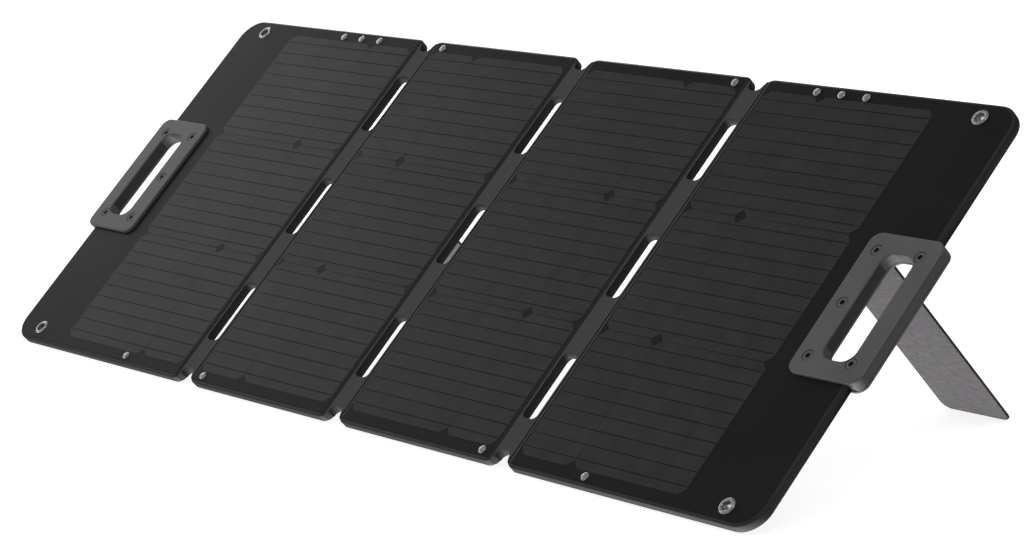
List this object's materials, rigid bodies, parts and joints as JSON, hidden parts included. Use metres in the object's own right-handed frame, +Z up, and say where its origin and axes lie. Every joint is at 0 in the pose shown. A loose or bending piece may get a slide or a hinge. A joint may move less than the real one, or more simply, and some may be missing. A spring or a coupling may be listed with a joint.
{
  "type": "folding solar panel",
  "caption": "Folding camping solar panel: rigid boards on flexible hinge strips, with carrying handles at both ends and kickstand legs, standing at 45 degrees.",
  "frame": {"origin": "centre of the bounding box at the ground", "axes": "+X along the row of boards, to the right seen from the front; +Y towards the back, where the legs stand; +Z up"},
  "size_m": [1.373, 0.6018, 0.3854],
  "materials": {
    "board_shell": "moulded, satin",
    "solar_cell": "dark monocrystalline silicon",
    "front_film": "embossed weatherproof film, semi-matte",
    "hinge_strip": "flexible coated strip, matte",
    "grey_plastic": "moulded, fine texture",
    "black_plastic": "moulded, satin",
    "leg_cloth": "melange woven cover with a dark edge",
    "bright_steel": "polished",
    "dark_steel": "blackened, satin"
  },
  "bodies": {
    "panel_2": {"board_2": "board_shell", "cells_2": "solar_cell", "front_film_2": "front_film", "rivet_2_top": "bright_steel", "rivet_2_bottom": "bright_steel", "hinge_strip_left": "hinge_strip", "hinge_strip_centre": "hinge_strip"},
    "panel_1": {"board_1": "board_shell", "cells_1": "solar_cell", "front_film_1": "front_film", "grommet_left_top": "bright_steel", "grommet_left_bottom": "bright_steel", "rivet_1_top_1": "bright_steel", "rivet_1_top_2": "bright_steel", "rivet_1_top_3": "bright_steel", "rivet_1_bottom": "bright_steel", "handle_front_left": "grey_plastic", "handle_back_left": "grey_plastic", "handle_screw_left_1": "dark_steel", "handle_screw_left_2": "dark_steel", "handle_screw_left_3": "dark_steel", "handle_screw_left_4": "dark_steel", "handle_screw_left_5": "dark_steel", "leg_block_left": "grey_plastic", "leg_pin_left": "bright_steel", "leg_catch_left": "bright_steel", "junction_base": "grey_plastic", "junction_lid": "grey_plastic", "output_gland": "black_plastic"},
    "panel_3": {"board_3": "board_shell", "cells_3": "solar_cell", "front_film_3": "front_film", "rivet_3_top": "bright_steel", "rivet_3_bottom": "bright_steel", "hinge_strip_right": "hinge_strip"},
    "panel_4": {"board_4": "board_shell", "cells_4": "solar_cell", "front_film_4": "front_film", "grommet_right_top": "bright_steel", "grommet_right_bottom": "bright_steel", "rivet_4_top_1": "bright_steel", "rivet_4_top_2": "bright_steel", "rivet_4_top_3": "bright_steel", "rivet_4_bottom": "bright_steel", "handle_front_right": "grey_plastic", "handle_back_right": "grey_plastic", "handle_screw_right_1": "dark_steel", "handle_screw_right_2": "dark_steel", "handle_screw_right_3": "dark_steel", "handle_screw_right_4": "dark_steel", "handle_screw_right_5": "dark_steel", "leg_block_right": "grey_plastic", "leg_pin_right": "bright_steel", "leg_catch_right": "bright_steel"},
    "leg_left": {"leg_board_left": "leg_cloth"},
    "leg_right": {"leg_board_right": "leg_cloth"}
  },
  "joints": [
    {"name": "fold_centre", "type": "hinge", "parent": "panel_2", "child": "panel_3", "pos_m": [0, -0.1025, 0.18703], "axis": [0, 0.7071, 0.7071], "range_deg": [0, 179.9]},
    {"name": "fold_left", "type": "hinge", "parent": "panel_2", "child": "panel_1", "pos_m": [-0.2905, -0.11664, 0.20117], "axis": [0, 0.7071, 0.7071], "range_deg": [0, 179.9]},
    {"name": "fold_right", "type": "hinge", "parent": "panel_3", "child": "panel_4", "pos_m": [0.2905, -0.11664, 0.20117], "axis": [0, -0.7071, -0.7071], "range_deg": [0, 179.9]},
    {"name": "kickstand_left", "type": "hinge", "parent": "panel_1", "child": "leg_left", "pos_m": [-0.4215, 0.00569, 0.2931], "axis": [-1, 0, 0], "range_deg": [0, 90]},
    {"name": "kickstand_right", "type": "hinge", "parent": "panel_4", "child": "leg_right", "pos_m": [0.4215, 0.00569, 0.2931], "axis": [-1, 0, 0], "range_deg": [0, 90]}
  ],
  "couplings": [
    {"joint": "fold_left", "follows": "fold_centre", "ratio": 1},
    {"joint": "fold_right", "follows": "fold_centre", "ratio": 1}
  ]
}
